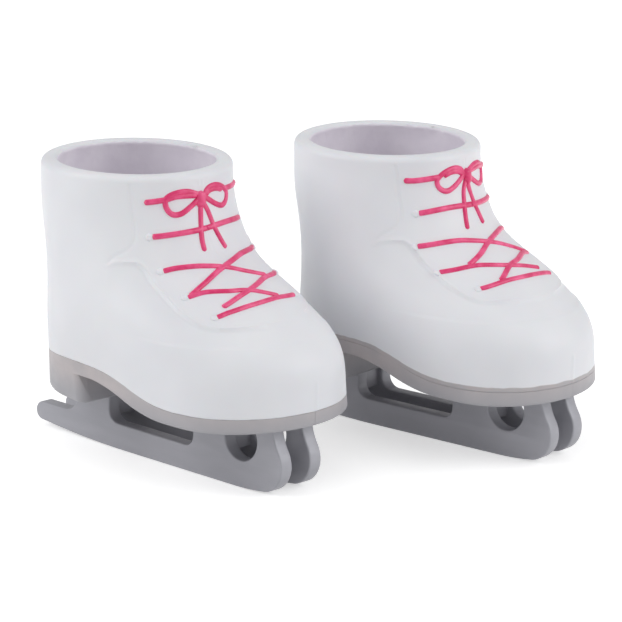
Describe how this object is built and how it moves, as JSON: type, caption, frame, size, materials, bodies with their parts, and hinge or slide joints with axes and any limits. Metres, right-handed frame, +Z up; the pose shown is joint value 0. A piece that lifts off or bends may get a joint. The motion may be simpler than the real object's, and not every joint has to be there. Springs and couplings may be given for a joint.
{
  "type": "doll figure skates",
  "caption": "Pair of doll's figure skates: open-topped moulded boots with lacing in relief, arched soles with heels, and twin-runner blade frames.",
  "frame": {"origin": "centre of the pair's bounding box, on the surface that the runners stand on", "axes": "+X along the right skate towards its toe, +Y towards the left skate, +Z up; the left skate is turned outwards by 5.4 degrees"},
  "size_m": [0.093, 0.0952, 0.0592],
  "materials": {
    "boot_vinyl": "white soft vinyl with a satin skin, dusty mauve inside the cuff",
    "sole_vinyl": "grey vinyl with a taupe satin paint on the edge of the sole",
    "blade_plastic": "moulded grey plastic with a satin skin",
    "lace_paint": "pink paint on raised lacing",
    "washer_steel": "zinc-plated steel",
    "screw_steel": "zinc-plated steel"
  },
  "bodies": {
    "right_skate": {"right_boot_shell": "boot_vinyl", "right_outsole": "sole_vinyl", "right_blade_frame": "blade_plastic", "right_lacing_crosses": "lace_paint", "right_lacing_bow": "lace_paint", "right_ball_washer": "washer_steel", "right_ball_screw": "screw_steel", "right_heel_washer": "washer_steel", "right_heel_screw": "screw_steel"},
    "left_skate": {"left_boot_shell": "boot_vinyl", "left_outsole": "sole_vinyl", "left_blade_frame": "blade_plastic", "left_lacing_crosses": "lace_paint", "left_lacing_bow": "lace_paint", "left_ball_washer": "washer_steel", "left_ball_screw": "screw_steel", "left_heel_washer": "washer_steel", "left_heel_screw": "screw_steel"}
  },
  "joints": [
    {"name": "left_skate_lift", "type": "slide", "parent": "right_skate", "child": "left_skate", "axis": [0, 0, 1], "range_m": [0, 0.12]}
  ]
}
